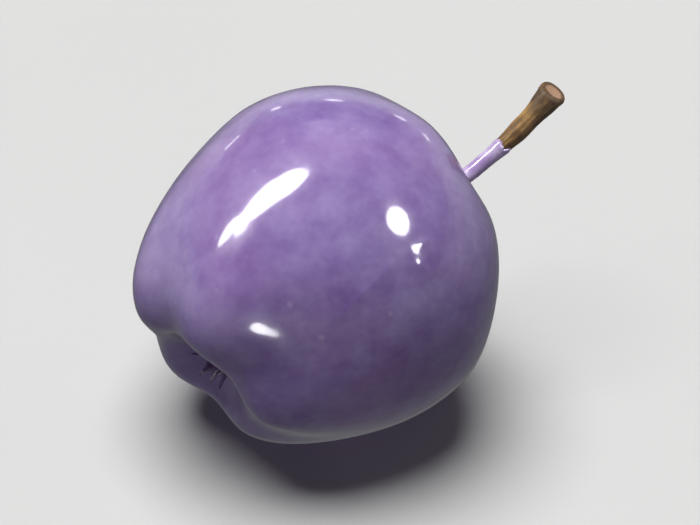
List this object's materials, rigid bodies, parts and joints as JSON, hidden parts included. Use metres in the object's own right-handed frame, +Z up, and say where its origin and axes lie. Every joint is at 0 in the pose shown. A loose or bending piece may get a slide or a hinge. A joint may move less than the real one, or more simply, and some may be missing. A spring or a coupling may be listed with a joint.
{
  "type": "wax-dipped apple",
  "caption": "Small whole apple dipped in glossy lilac wax, lying on its cheek, with a curved woody stalk whose end is bare of wax and a dried calyx in a lobed basin.",
  "frame": {"origin": "centre of the small flat spot on the cheek that the apple rests on", "axes": "+Z up from the surface that the apple lies on; the stalk end points along +X, turned 40 degrees towards +Y and 19 degrees upwards, and the calyx end points the other way"},
  "size_m": [0.0608, 0.0506, 0.0488],
  "materials": {
    "wax_coat": "glossy lilac wax, faintly translucent and unevenly thick, with small pits and shallow dents",
    "stalk_wood": "dry golden-brown stalk, darker along its sides, with a pale cut end",
    "calyx_wax": "dried sepals under a thin, darker film of the same wax"
  },
  "bodies": {
    "root": {"waxed_fruit": "wax_coat", "stalk": "stalk_wood", "calyx": "calyx_wax"}
  },
  "joints": []
}
